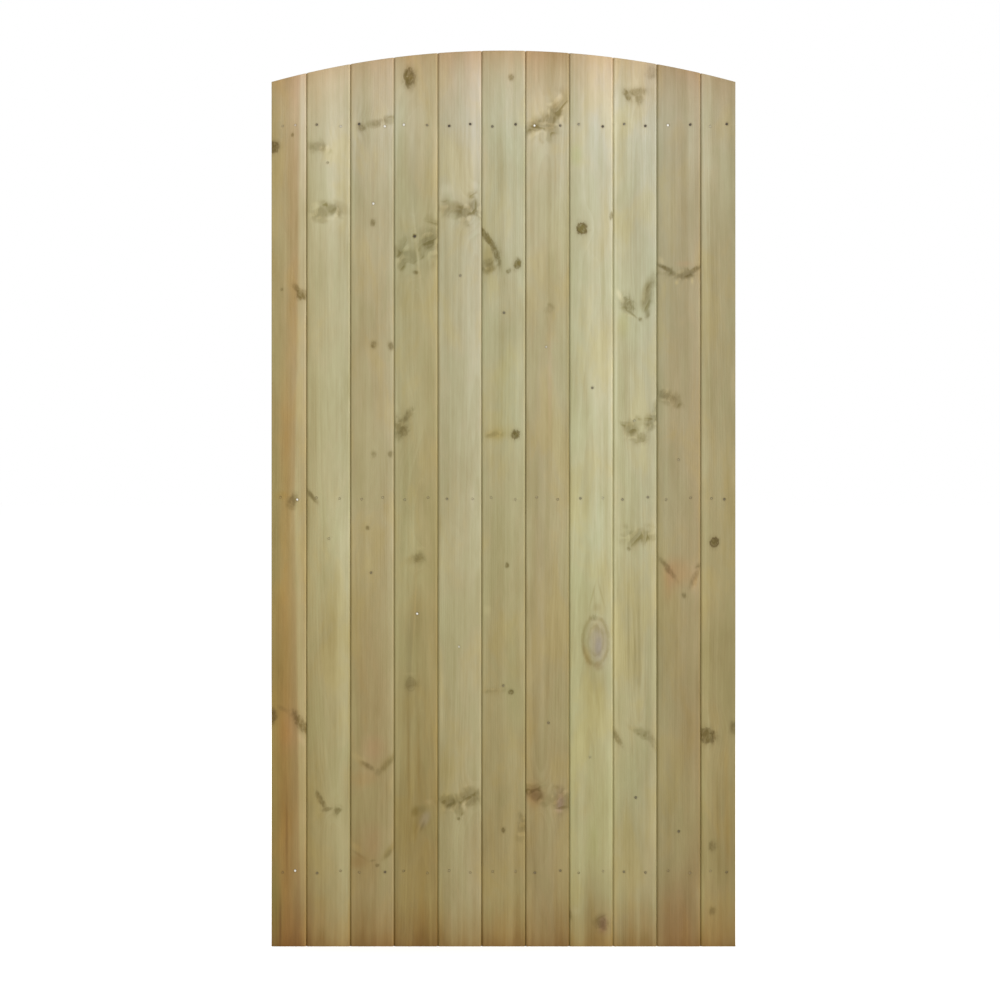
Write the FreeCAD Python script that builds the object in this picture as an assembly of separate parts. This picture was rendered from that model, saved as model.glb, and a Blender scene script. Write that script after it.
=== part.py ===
import FreeCAD
import Part
import math
import os

# Garden gate leaf: upright tongue-and-groove boards under an arched top, nailed from the face to
# three ledges, with a brace between each pair of ledges. Both braces fall towards the right edge,
# the hanging side, and carry the weight of the closing side down to the hinges.
#
# Frame: +X to the right and +Y away from a person who faces the boards, +Z up, in millimetres.
# The origin is at the foot of the gate, midway across its width and midway through its depth.

# Gate
gate_height = 1800.0  # foot to crown of the arch
arch_rise = 63.0  # crown above the arch's two ends
full_board_count = 9
board_cover = 88.0  # width that each full board covers, joint to joint
edge_board_width = 70.0  # the board at either edge is ripped down to this

# Boards
board_thickness = 20.0
vee_chamfer = 3.0  # on the face at both sides of a joint
joint_gap = 1.0  # left open between two boards
tongue_reach = 6.5
tongue_thickness = 6.0
tongue_play = 0.3  # in the groove, before and behind the tongue
groove_end_play = 1.0  # in the groove, beyond the tongue's tip

# Ledges and braces
ledge_width = 95.0
ledge_thickness = 34.0  # the braces are as thick
ledge_from_end = 150.0  # gate's foot or crown to the middle of the nearest ledge
brace_width = 95.0
brace_corner_inset = 3.0  # gate's edge to the outer corner of a brace
arris_radius = 4.0  # on the long edges that face away from the boards

# Nails
nail_from_board_edge = 20.0
nail_wander = 2.5  # furthest that a nail strays from its marked place, each way
nail_shank_radius = 1.4
nail_head_radius = 2.4
nail_head_height = 1.6
nail_point_length = 4.0
nail_back_cover = 3.0  # wood left behind the point of a nail
punch_depth = 1.0  # top of a nail's head below the face
shank_clearance = 0.05
head_clearance = 0.5  # crushed wood round a punched head
point_clearance = 1.0  # hole beyond the point

# Worked out
gate_width = full_board_count * board_cover + 2 * edge_board_width
gate_depth = board_thickness + ledge_thickness
face_y = -gate_depth / 2
board_back_y = face_y + board_thickness
back_y = gate_depth / 2
nail_length = gate_depth - punch_depth - nail_back_cover
ledge_heights = {
    "bottom": ledge_from_end,
    "middle": gate_height / 2,
    "top": gate_height - ledge_from_end,
}


class Board:
    """One upright board: where its sides are, and which of them are jointed to a neighbour."""

    def __init__(self, index):
        last = full_board_count + 1
        first_joint = -gate_width / 2 + edge_board_width
        self.has_groove = index > 0
        self.has_tongue = index < last
        self.left = -gate_width / 2
        self.right = gate_width / 2
        if self.has_groove:
            self.left = first_joint + (index - 1) * board_cover + joint_gap / 2
        if self.has_tongue:
            self.right = first_joint + index * board_cover - joint_gap / 2
        self.middle = (self.left + self.right) / 2
        names = {0: "left_edge_board", last: "right_edge_board"}
        self.name = names.get(index, f"board_{index}")

    def section(self):
        """Outline across the board: the left side from back to face, then the right side."""
        tongue_front = face_y + vee_chamfer + (board_thickness - vee_chamfer - tongue_thickness) / 2
        tongue_back = tongue_front + tongue_thickness
        groove_bottom = self.left + tongue_reach - joint_gap + groove_end_play
        tongue_tip = self.right + tongue_reach
        left_side = [(self.left, board_back_y), (self.left, face_y)]
        right_side = [(self.right, face_y), (self.right, board_back_y)]
        if self.has_groove:
            left_side = [
                (self.left, board_back_y),
                (self.left, tongue_back + tongue_play),
                (groove_bottom, tongue_back + tongue_play),
                (groove_bottom, tongue_front - tongue_play),
                (self.left, tongue_front - tongue_play),
                (self.left, face_y + vee_chamfer),
                (self.left + vee_chamfer, face_y),
            ]
        if self.has_tongue:
            right_side = [
                (self.right - vee_chamfer, face_y),
                (self.right, face_y + vee_chamfer),
                (self.right, tongue_front),
                (tongue_tip, tongue_front),
                (tongue_tip, tongue_back),
                (self.right, tongue_back),
                (self.right, board_back_y),
            ]
        return left_side + right_side


class Brace:
    """A brace cut to fit between two ledges, falling from the left edge to the right one.

    The strip is brace_width across, square to its length, and its outer corners lie
    brace_corner_inset in from the gate's edges. That fixes its slope.
    """

    def __init__(self, upper_ledge, lower_ledge):
        self.top = ledge_heights[upper_ledge] - ledge_width / 2
        self.foot = ledge_heights[lower_ledge] + ledge_width / 2
        drop = self.top - self.foot
        self.reach = gate_width / 2 - brace_corner_inset
        diagonal = math.hypot(2 * self.reach, drop)
        slope = math.atan2(drop, 2 * self.reach) + math.asin(brace_width / diagonal)
        self.direction = FreeCAD.Vector(math.cos(slope), 0, -math.sin(slope))
        self.end_cut = brace_width / math.sin(slope)

    def height_at(self, x):
        """Height of the brace's middle line."""
        from_start = x + self.reach - self.end_cut / 2
        return self.top + from_start * self.direction.z / self.direction.x

    def solid(self):
        """The brace with its arrises eased, before it is nailed."""
        outline = [
            (-self.reach, self.top),
            (-self.reach + self.end_cut, self.top),
            (self.reach, self.foot),
            (self.reach - self.end_cut, self.foot),
        ]
        corners = [FreeCAD.Vector(x, board_back_y, z) for x, z in outline]
        blank = prism(corners, FreeCAD.Vector(0, ledge_thickness, 0))
        return ease_arrises(blank, self.direction)


def prism(corners, travel):
    """Solid swept in a straight line from a flat outline."""
    return Part.Face(Part.makePolygon(corners + corners[:1])).extrude(travel)


def turned(profile):
    """Solid of revolution about the Y axis, from (radius, depth) points of half its section."""
    corners = [FreeCAD.Vector(radius, depth, 0) for radius, depth in profile]
    half_section = Part.Face(Part.makePolygon(corners + corners[:1]))
    return half_section.revolve(FreeCAD.Vector(0, 0, 0), FreeCAD.Vector(0, 1, 0), 360)


def ease_arrises(timber, along):
    """Rounds the long edges of a ledge or brace that face away from the boards."""
    long_edges = []
    for edge in timber.Edges:
        start, end = (vertex.Point for vertex in edge.Vertexes)
        at_back = min(start.y, end.y) > back_y - arris_radius / 2
        runs_along = (end - start).cross(along).Length < 1e-6 * edge.Length
        if at_back and runs_along:
            long_edges.append(edge)
    return timber.makeFillet(arris_radius, long_edges)


def arch_cylinder():
    """Cylinder through the crown and both ends of the arch. What lies outside it is sawn off."""
    radius = ((gate_width / 2) ** 2 + arch_rise**2) / (2 * arch_rise)
    axis_start = FreeCAD.Vector(0, face_y - gate_depth, gate_height - radius)
    return Part.makeCylinder(radius, 3 * gate_depth, axis_start, FreeCAD.Vector(0, 1, 0))


def nail():
    """A lost-head nail, its head punched below the face."""
    head_top = face_y + punch_depth
    head_under = head_top + nail_head_height
    point = head_top + nail_length
    return turned([
        (0, head_top),
        (nail_head_radius, head_top),
        (nail_head_radius, head_under),
        (nail_shank_radius, head_under),
        (nail_shank_radius, point - nail_point_length),
        (0, point),
    ])


def nail_hole():
    """What a nail clears in the wood: a pocket for its head, and a hole for the rest of it."""
    pocket_radius = nail_head_radius + head_clearance
    hole_radius = nail_shank_radius + shank_clearance
    pocket_floor = face_y + punch_depth + nail_head_height
    outside = face_y - punch_depth
    hole_end = face_y + punch_depth + nail_length + point_clearance
    return turned([
        (0, outside),
        (pocket_radius, outside),
        (pocket_radius, pocket_floor),
        (hole_radius, pocket_floor),
        (hole_radius, hole_end),
        (0, hole_end),
    ])


def wander(step):
    """How far the nail of this number strays from its marked place, across and up."""
    return nail_wander * math.sin(2.4 * step), nail_wander * math.cos(3.7 * step)


def ledge_nail_places(boards, height):
    """Two nails through each board into a ledge, as (x, z)."""
    places = []
    for board in boards:
        for mark in (board.left + nail_from_board_edge, board.right - nail_from_board_edge):
            across, up = wander(len(places) + height)
            places.append((mark + across, height + up))
    return places


def brace_nail_places(boards, brace):
    """One nail through each full board into a brace, close to the brace's middle line."""
    places = []
    for board in boards:
        if board.has_groove and board.has_tongue:
            across, up = wander(len(places) + brace.foot)
            x = board.middle + across
            places.append((x, brace.height_at(x) + up))
    return places


def at_places(shape, places):
    """A copy of the shape at each (x, z)."""
    return [shape.translated(FreeCAD.Vector(x, 0, z)) for x, z in places]


def make_board(board, all_places):
    """A board under the arch, with the holes of the nails that go through it."""
    corners = [FreeCAD.Vector(x, y, 0) for x, y in board.section()]
    blank = prism(corners, FreeCAD.Vector(0, 0, gate_height))
    mine = [place for place in all_places if board.left < place[0] < board.right]
    return blank.common(arch_cylinder()).cut(at_places(nail_hole(), mine))


def make_ledge(height, places):
    """A ledge across the whole gate, flush with its edges, with its nail holes."""
    corner = FreeCAD.Vector(-gate_width / 2, board_back_y, height - ledge_width / 2)
    blank = Part.makeBox(gate_width, ledge_thickness, ledge_width, corner)
    return ease_arrises(blank, FreeCAD.Vector(1, 0, 0)).cut(at_places(nail_hole(), places))


def build():
    """Every node of the gate, by name."""
    boards = [Board(index) for index in range(full_board_count + 2)]
    braces = {"upper": Brace("top", "middle"), "lower": Brace("middle", "bottom")}
    nodes = {}
    all_places = []
    for name, height in ledge_heights.items():
        places = ledge_nail_places(boards, height)
        nodes[f"{name}_ledge"] = make_ledge(height, places)
        nodes[f"{name}_ledge_nails"] = Part.makeCompound(at_places(nail(), places))
        all_places += places
    for name, brace in braces.items():
        places = brace_nail_places(boards, brace)
        nodes[f"{name}_brace"] = brace.solid().cut(at_places(nail_hole(), places))
        nodes[f"{name}_brace_nails"] = Part.makeCompound(at_places(nail(), places))
        all_places += places
    for board in boards:
        nodes[board.name] = make_board(board, all_places)
    return nodes


os.makedirs("parts", exist_ok=True)
for node_name, shape in build().items():
    shape.exportStep(f"parts/{node_name}.step")
    print(node_name, len(shape.Solids), "solids", round(shape.Volume / 1000), "cm3", shape.isValid())
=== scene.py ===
import bpy
import math
import numpy as np
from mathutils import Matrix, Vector, geometry


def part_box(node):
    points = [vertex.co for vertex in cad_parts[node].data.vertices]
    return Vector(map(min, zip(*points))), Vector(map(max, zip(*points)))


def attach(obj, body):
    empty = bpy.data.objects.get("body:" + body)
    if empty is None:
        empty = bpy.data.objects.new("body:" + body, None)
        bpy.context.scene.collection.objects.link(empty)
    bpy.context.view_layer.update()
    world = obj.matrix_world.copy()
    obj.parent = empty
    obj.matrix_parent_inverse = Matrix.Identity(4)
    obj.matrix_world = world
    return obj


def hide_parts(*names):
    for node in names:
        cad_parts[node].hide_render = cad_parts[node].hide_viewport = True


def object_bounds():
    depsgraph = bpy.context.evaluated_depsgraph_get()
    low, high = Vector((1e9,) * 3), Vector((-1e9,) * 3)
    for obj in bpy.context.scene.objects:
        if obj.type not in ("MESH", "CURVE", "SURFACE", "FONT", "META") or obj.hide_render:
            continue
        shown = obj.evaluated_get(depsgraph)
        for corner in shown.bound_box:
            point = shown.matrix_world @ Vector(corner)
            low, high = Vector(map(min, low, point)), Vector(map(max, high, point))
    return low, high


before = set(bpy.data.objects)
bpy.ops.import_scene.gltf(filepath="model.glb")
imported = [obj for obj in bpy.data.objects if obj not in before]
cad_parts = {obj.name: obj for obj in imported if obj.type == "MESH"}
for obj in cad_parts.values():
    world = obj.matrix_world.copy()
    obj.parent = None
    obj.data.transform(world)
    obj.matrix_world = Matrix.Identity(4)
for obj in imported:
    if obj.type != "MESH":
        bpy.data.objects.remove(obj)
cadLow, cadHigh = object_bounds()
mm = 0.001
print("frame loaded:", len(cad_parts), "nodes")


def addNode(tree, kind, inputs=None, **settings):
    made = tree.nodes.new("ShaderNode" + kind)
    for key, value in settings.items():
        setattr(made, key, value)
    for key, value in (inputs or {}).items():
        if isinstance(value, bpy.types.NodeSocket):
            tree.links.new(value, made.inputs[key])
        else:
            made.inputs[key].default_value = value
    return made


def calc(tree, operation, first, second=0.0, third=None, clamp=False):
    inputs = {0: first, 1: second}
    if third is not None:
        inputs[2] = third
    return addNode(tree, "Math", inputs, operation=operation, use_clamp=clamp).outputs[0]


def product(tree, first, *others):
    for other in others:
        first = calc(tree, "MULTIPLY", first, other)
    return first


# base + swing * (noise - 0.5)
def swayed(tree, noise, swing, base=0.0):
    return calc(tree, "MULTIPLY_ADD", calc(tree, "SUBTRACT", noise, 0.5), swing, base)


def mixColour(tree, amount, under, over, how="MIX"):
    under, over = [(*colour, 1) if isinstance(colour, tuple) else colour for colour in (under, over)]
    made = addNode(tree, "Mix", {0: amount, 6: under, 7: over}, data_type="RGBA", blend_type=how)
    return made.outputs[2]


# smooth step from 0 at low to 1 at high, or the other way about where low is above high
def smoothBetween(tree, value, low, high):
    inputs = {"Value": value, "From Min": min(low, high), "From Max": max(low, high)}
    inputs.update({"To Min": float(low > high), "To Max": float(low < high)})
    return addNode(tree, "MapRange", inputs, interpolation_type="SMOOTHSTEP").outputs[0]


# smooth step up from start to top, times a smooth step down from top to end
def ridge(tree, value, start, top, end):
    return product(tree, smoothBetween(tree, value, start, top), smoothBetween(tree, value, end, top))


# how often each noise repeats in a metre: across the grain, through its depth and along it
noiseScale = dict(
    ringWander=(14, 14, 1.6),
    ringRipple=(120, 120, 16),
    ringCurl=(60, 60, 45),
    ringsShown=(24, 24, 2.2),
    streak=(42, 42, 0.8),
    strand=(210, 210, 3.2),
    fibre=(1100, 1100, 26),
    knotEdge=(105, 105, 70),
    knotPatch=(150, 150, 90),
    swirl=(38, 38, 36),
    blotch=(15, 15, 6),
    tone=(22, 22, 5),
    spangle=(900, 900, 900),
)


def noiseOf(tree, vector, scale, detail=2.0, roughness=0.5, distortion=0.0):
    place = addNode(tree, "VectorMath", {0: vector, 1: noiseScale[scale]}, operation="MULTIPLY").outputs[0]
    inputs = {"Vector": place, "Scale": 1.0, "Detail": detail}
    inputs.update({"Roughness": roughness, "Distortion": distortion})
    return addNode(tree, "TexNoise", inputs).outputs[0]


def readAttribute(tree, name):
    return addNode(tree, "Attribute", attribute_name=name, attribute_type="GEOMETRY").outputs["Vector"]


def partsOf(tree, vector):
    return addNode(tree, "SeparateXYZ", {0: vector}).outputs


# A node group starts with its inputs, a number for a value and None for a vector, and is closed
# with its outputs.
def newGroup(name, inputs):
    group = bpy.data.node_groups.new(name, "ShaderNodeTree")
    for label, value in inputs.items():
        kind = "NodeSocketVector" if value is None else "NodeSocketFloat"
        socket = group.interface.new_socket(label, in_out="INPUT", socket_type=kind)
        if value is not None:
            socket.default_value = value
    return group, group.nodes.new("NodeGroupInput").outputs


def closeGroup(group, outputs):
    for label in outputs:
        group.interface.new_socket(label, in_out="OUTPUT", socket_type="NodeSocketFloat")
    sink = group.nodes.new("NodeGroupOutput")
    for label, value in outputs.items():
        group.links.new(value, sink.inputs[label])
    return group


def useGroup(tree, group, inputs):
    return addNode(tree, "Group", inputs, node_tree=group).outputs


# Growth rings: the distance from the pith counted in ring widths, wandering a little, and broken
# into curls where the wood swirls. Late wood darkens slowly through a ring and ends sharply.
def makeRingGroup():
    inputs = {"From Pith": 0.0, "Grain": None, "Ring Width": 0.003, "Wander": 0.8, "Curl": 0.0}
    group, given = newGroup("growthRings", inputs)
    grain = given["Grain"]
    count = calc(group, "DIVIDE", given["From Pith"], given["Ring Width"])
    count = swayed(group, noiseOf(group, grain, "ringWander"), given["Wander"], count)
    count = swayed(group, noiseOf(group, grain, "ringRipple", detail=1.0), 0.35, count)
    curl = noiseOf(group, grain, "ringCurl", detail=1.0, distortion=0.8)
    count = swayed(group, curl, product(group, given["Curl"], 2.6), count)
    shown = smoothBetween(group, noiseOf(group, grain, "ringsShown"), 0.3, 0.68)
    late = ridge(group, calc(group, "FRACT", count), 0.15, 0.86, 1.0)
    late = product(group, late, calc(group, "MULTIPLY_ADD", shown, 0.8, 0.2))
    ring = calc(group, "FLOOR", count)
    tone = addNode(group, "TexWhiteNoise", {"W": ring}, noise_dimensions="1D").outputs[0]
    return closeGroup(group, {"Late Wood": late, "Ring Tone": tone})


# Fibres: noise drawn out along the grain at three scales, from broad streaks to single fibres.
def makeFibreGroup():
    group, given = newGroup("fibres", {"Grain": None, "Fineness": 1.0})
    scaling = {0: given["Grain"], "Scale": given["Fineness"]}
    grain = addNode(group, "VectorMath", scaling, operation="SCALE").outputs[0]
    streak = noiseOf(group, grain, "streak", detail=3.0)
    strand = noiseOf(group, grain, "strand", detail=3.0, roughness=0.6)
    fibre = noiseOf(group, grain, "fibre", roughness=0.6)
    return closeGroup(group, {"Streak": streak, "Strand": strand, "Fibre": fibre})


# Knot: a body that darkens inwards past an uneven edge, in patches, with bark round the darkest.
# An outlined knot is two thin rings, one inside the other. Swirls are where lumps of noise stand
# above a level that falls towards the middle. Each lump carries painted relief shading: painted shade
# along its lower right, and a pale painted highlight along its upper left, both from the same noise
# read a little way off, less itself.
# Knot vector: how far inside the edge, how dark, and how strongly the wood around it swirls.
def makeKnotGroup():
    inputs = {"Knot": None, "Outline": 0.0, "Grain": None, "Unevenness": 1.5}
    group, given = newGroup("knotMarks", inputs)
    grain = given["Grain"]
    fromEdge, dark, swirling = partsOf(group, given["Knot"])
    uneven = noiseOf(group, grain, "knotEdge", detail=4.0, roughness=0.62, distortion=0.8)
    uneven = swayed(group, uneven, given["Unevenness"])
    inside = calc(group, "ADD", fromEdge, uneven)
    halo = product(group, smoothBetween(group, inside, -1.1, 0.3), 0.28)
    body = calc(group, "MULTIPLY_ADD", smoothBetween(group, inside, -0.4, 0.45), 0.72, halo)
    patch = noiseOf(group, grain, "knotPatch", roughness=0.6, distortion=0.6)
    patch = calc(group, "MULTIPLY_ADD", smoothBetween(group, patch, 0.3, 0.62), 0.5, 0.64)
    body = calc(group, "MULTIPLY", product(group, body, patch), dark, clamp=True)
    bark = product(group, smoothBetween(group, inside, -0.2, 0.05), smoothBetween(group, inside, 0.4, 0.08),
                   smoothBetween(group, dark, 0.75, 1.0))

    steady = calc(group, "MULTIPLY_ADD", uneven, 0.16, fromEdge)
    outline = calc(group, "MULTIPLY_ADD", ridge(group, steady, 0.3, 0.42, 0.62), 0.6,
                   ridge(group, steady, -0.12, 0.05, 0.24))
    outline = calc(group, "MULTIPLY", outline, given["Outline"], clamp=True)

    readings = []
    for offset in ((0, 0, 0), (0.0045, 0, -0.005), (-0.0035, 0, 0.004)):
        place = addNode(group, "VectorMath", {0: grain, 1: offset}, operation="ADD").outputs[0]
        readings.append(noiseOf(group, place, "swirl", detail=1.2, roughness=0.45, distortion=0.6))
    lumps, lowerRight, upperLeft = readings
    level = calc(group, "MULTIPLY_ADD", calc(group, "SUBTRACT", swirling, 1.0), 0.36, lumps)
    # painted shade along the lower right of each lump
    paintedShadeRim = smoothBetween(group, calc(group, "SUBTRACT", upperLeft, lumps), 0.01, 0.09)
    swirl = product(group, smoothBetween(group, level, 0.17, 0.46), smoothBetween(group, swirling, 0.06, 0.3),
                    calc(group, "MULTIPLY_ADD", paintedShadeRim, 0.65, 0.45))
    # painted highlight along the upper left of each lump
    paintedHighlight = smoothBetween(group, calc(group, "SUBTRACT", lowerRight, lumps), 0.03, 0.1)
    paintedHighlight = product(group, paintedHighlight, smoothBetween(group, swirling, 0.15, 0.6))
    branch = smoothBetween(group, calc(group, "FRACT", product(group, inside, 4.0)), 0.2, 0.95)
    return closeGroup(group, {"Body": body, "Bark": bark, "Outline": outline, "Swirl": swirl, "Painted Highlight": paintedHighlight,
                              "Branch Rings": branch})


# Treatment: where the green salts took, where the wood is warmer, and paler blotches.
def makeTreatmentGroup():
    group, given = newGroup("treatment", {"Grain": None, "Cover": 0.5})
    blotch = noiseOf(group, given["Grain"], "blotch", detail=4.0, roughness=0.6, distortion=0.4)
    level = swayed(group, given["Cover"], 0.4, blotch)
    green = smoothBetween(group, level, 0.42, 0.64)
    warm = smoothBetween(group, level, 0.52, 0.34)
    tone = noiseOf(group, given["Grain"], "tone", detail=3.0, roughness=0.6)
    return closeGroup(group, {"Green": green, "Warm": warm, "Tone": tone})


ringGroup = makeRingGroup()
fibreGroup = makeFibreGroup()
knotGroup = makeKnotGroup()
treatmentGroup = makeTreatmentGroup()
print("node groups made")

boardFinish = dict(
    # colour by height above the foot, in metres: the wood's own browning towards the foot, with painted shade
    # in it too, darker lower down
    byHeight=[(0.0, (0.22, 0.126, 0.034)), (0.03, (0.257, 0.167, 0.058)), (0.1, (0.28, 0.212, 0.09)),
              (0.3, (0.288, 0.23, 0.102)), (0.7, (0.314, 0.264, 0.128)), (1.1, (0.332, 0.291, 0.158)),
              (1.35, (0.338, 0.304, 0.172)), (1.55, (0.362, 0.33, 0.2)), (1.66, (0.388, 0.356, 0.231)),
              (1.8, (0.402, 0.325, 0.197))],
    rampTop=2.0,  # height at the end of the colour ramp
    heightSwing=0.12,  # how far streaks carry a colour up and down
    lateTint=(0.78, 0.70, 0.56),
    lateStrength=0.16,
    lateInSwirls=0.18,  # added where the wood swirls
    lateOfRing=(0.45, 1.1),  # late wood of the faintest ring, and how much more the strongest has
    endTint=(0.8, 0.77, 0.68),
    endRings=0.7,  # added on end grain
    greenTint=(0.965, 1.0, 0.965),
    warmTint=(1.03, 1.005, 0.885),
    darkTint=(0.763, 0.714, 0.56),
    lightTint=(1.237, 1.286, 1.44),
    knotTint=(0.39, 0.33, 0.12),
    knotRingTint=(0.2145, 0.1815, 0.066),
    knotRings=0.3,  # how far the rings inside a knot take that tint
    outlineTint=(0.76, 0.7, 0.55),
    outlineStrength=0.9,
    barkTint=(0.55, 0.46, 0.28),
    swirlTint=(0.58, 0.54, 0.35),
    # painted highlight on the upper left of swirl lumps
    paintedHighlightTint=(1.34, 1.32, 1.34),
    paintedHighlightStrength=0.5,
    ringSwing=0.1,  # how far each noise lightens and darkens the wood
    toneSwing=1.0,
    streakSwing=0.9,
    strandSwing=0.42,
    fibreSwing=0.4,
    ringWidth=0.0034,
    fineness=1.0,
    cover=0.5,
    bump=0.35,
    bumpDepth=0.0004,
    roughness=(0.5, 0.72),
    knotPolish=0.12,  # how much smoother a knot is
    specular=0.3,
    relief=dict(fibre=0.55, strand=0.5, late=0.5, bark=-0.8),  # shares of the bump
)
frameFinish = dict(
    boardFinish,
    byHeight=[(0.0, (0.27, 0.2, 0.09)), (0.9, (0.33, 0.275, 0.14)), (1.8, (0.37, 0.32, 0.18))],
    lateTint=(0.74, 0.64, 0.47),
    lateStrength=0.34,
    ringWidth=0.0042,
    fineness=0.9,
    cover=0.65,
)


def newMaterial(name):
    material = bpy.data.materials.new(name)
    material.use_nodes = True
    material.node_tree.nodes.clear()
    return material, material.node_tree


def closeMaterial(tree, finish, lift, inputs):
    bumping = {"Height": lift, "Strength": finish["bump"], "Distance": finish["bumpDepth"]}
    inputs["Normal"] = addNode(tree, "Bump", bumping).outputs[0]
    shader = addNode(tree, "BsdfPrincipled", inputs)
    addNode(tree, "OutputMaterial", {"Surface": shader.outputs[0]})


def roughnessBy(tree, finish, noise):
    smoothest, roughest = finish["roughness"]
    return calc(tree, "MULTIPLY_ADD", noise, roughest - smoothest, smoothest)


# The height ramp holds painted shade as well as the wood's own browning: darker towards the foot.
def colourByHeight(tree, finish, height):
    ramp = addNode(tree, "ValToRGB", {0: calc(tree, "DIVIDE", height, finish["rampTop"])})
    stops = ramp.color_ramp.elements
    while len(stops) < len(finish["byHeight"]):
        stops.new(0.5)
    for stop, (level, colour) in zip(stops, finish["byHeight"]):
        stop.position = level / finish["rampTop"]
    for stop, (level, colour) in zip(stops, finish["byHeight"]):
        stop.color = (*colour, 1)
    return ramp.outputs[0]


def makeWood(name, finish):
    material, tree = newMaterial(name)
    grain = readAttribute(tree, "grain")
    knot = readAttribute(tree, "knot")
    fromPith, outlined, endGrain = partsOf(tree, readAttribute(tree, "ringField"))
    swirling = partsOf(tree, knot)[2]
    knotParts = useGroup(tree, knotGroup, {"Knot": knot, "Outline": outlined, "Grain": grain})
    rings = useGroup(tree, ringGroup, {"From Pith": fromPith, "Grain": grain, "Curl": swirling,
                                       "Ring Width": finish["ringWidth"]})
    fibres = useGroup(tree, fibreGroup, {"Grain": grain, "Fineness": finish["fineness"]})
    treatment = useGroup(tree, treatmentGroup, {"Grain": grain, "Cover": finish["cover"]})

    # base colour by height, which holds the wood's browning and painted shade towards the foot, made uneven
    # by the streaks, then by the board's own tint
    height = partsOf(tree, addNode(tree, "TexCoord").outputs["Object"])[2]
    colour = colourByHeight(tree, finish, swayed(tree, fibres["Streak"], finish["heightSwing"], height))
    colour = mixColour(tree, 1.0, colour, readAttribute(tree, "tint"), "MULTIPLY")

    # end grain has clear rings, and the wood shows more of them where it swirls
    strength = calc(tree, "MULTIPLY_ADD", swirling, finish["lateInSwirls"], finish["lateStrength"])
    strength = calc(tree, "MULTIPLY_ADD", endGrain, finish["endRings"], strength)
    faintest, more = finish["lateOfRing"]
    late = product(tree, rings["Late Wood"], calc(tree, "MULTIPLY_ADD", rings["Ring Tone"], more, faintest))
    late = calc(tree, "MULTIPLY", late, strength, clamp=True)
    layers = [(treatment["Green"], finish["greenTint"]), (treatment["Warm"], finish["warmTint"]),
              (endGrain, finish["endTint"]), (late, finish["lateTint"])]

    # every noise lightens and darkens the wood, and darker wood is also browner
    shade = 0.5
    for noise, swing in [(rings["Ring Tone"], "ringSwing"), (treatment["Tone"], "toneSwing"),
                         (fibres["Streak"], "streakSwing"), (fibres["Strand"], "strandSwing"),
                         (fibres["Fibre"], "fibreSwing")]:
        shade = swayed(tree, noise, finish[swing], shade)
    layers.append((1.0, mixColour(tree, shade, finish["darkTint"], finish["lightTint"])))

    # swirls and knots; the swirls carry painted relief shade and a painted highlight
    ringed = product(tree, knotParts["Branch Rings"], finish["knotRings"])
    layers += [(knotParts["Swirl"], finish["swirlTint"]),
               # painted highlight along the upper left of the swirls
               (product(tree, knotParts["Painted Highlight"], finish["paintedHighlightStrength"]), finish["paintedHighlightTint"]),
               (knotParts["Body"], mixColour(tree, ringed, finish["knotTint"], finish["knotRingTint"])),
               (product(tree, knotParts["Outline"], finish["outlineStrength"]), finish["outlineTint"]),
               (knotParts["Bark"], finish["barkTint"])]
    for amount, tint in layers:
        colour = mixColour(tree, amount, colour, tint, "MULTIPLY")

    rough = roughnessBy(tree, finish, fibres["Strand"])
    rough = calc(tree, "MULTIPLY_ADD", knotParts["Body"], -finish["knotPolish"], rough)
    lift = product(tree, fibres["Fibre"], finish["relief"]["fibre"])
    for mark, rise in [(rings["Late Wood"], "late"), (fibres["Strand"], "strand"),
                       (knotParts["Bark"], "bark")]:
        lift = calc(tree, "MULTIPLY_ADD", mark, finish["relief"][rise], lift)
    closeMaterial(tree, finish, lift, {"Base Color": colour, "Roughness": rough,
                                       "Specular IOR Level": finish["specular"]})
    return material


nailFinish = dict(
    zinc=(0.78, 0.76, 0.7),
    # a dark head: dull zinc, and painted shade of its pocket as well
    dullAndShaded=(0.05, 0.036, 0.02),
    roughness=(0.45, 0.75),
    metal=0.4,
    spangleSwing=0.3,
    bump=0.3,
    bumpDepth=0.0002,
)


def makeZinc(finish):
    material, tree = newMaterial("galvanisedNail")
    spangle = noiseOf(tree, addNode(tree, "TexCoord").outputs["Object"], "spangle")
    bare, dark = partsOf(tree, readAttribute(tree, "look"))[:2]
    amount = calc(tree, "MULTIPLY", swayed(tree, spangle, finish["spangleSwing"], bare),
                  smoothBetween(tree, bare, 0.0, 0.2), clamp=True)
    # a dark head takes the dull colour, which is also painted shade of its pocket
    colour = mixColour(tree, dark, readAttribute(tree, "pressed"), finish["dullAndShaded"])
    colour = mixColour(tree, amount, colour, finish["zinc"])
    rough, metal = roughnessBy(tree, finish, spangle), product(tree, amount, finish["metal"])
    closeMaterial(tree, finish, spangle, {"Base Color": colour, "Roughness": rough, "Metallic": metal})
    return material


boardWood = makeWood("treatedBoard", boardFinish)
frameWood = makeWood("treatedFrameTimber", frameFinish)
zinc = makeZinc(nailFinish)
print("materials made")


# Positions from low to high. Each rule is (places, reach, spacing): points lie that close
# together within reach of the places. The running total of 1 / spacing is cut into equal steps.
def spacedOut(low, high, widest, rules):
    finest = min([widest] + [rule[2] for rule in rules])
    fineLine = np.linspace(low, high, int((high - low) / finest * 6) + 2)
    density = np.full(fineLine.shape, 1 / widest)
    for places, reach, spacing in rules:
        if len(places):
            gap = np.abs(fineLine[:, None] - np.asarray(places)[None, :])
            density = np.maximum(density, np.where(gap < reach, 1 / spacing, 0).max(1))
    steps = (density[1:] + density[:-1]) / 2 * np.diff(fineLine)
    total = np.concatenate([[0], np.cumsum(steps)])
    return np.interp(np.linspace(0, total[-1], int(round(total[-1])) + 1), total, fineLine)


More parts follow.
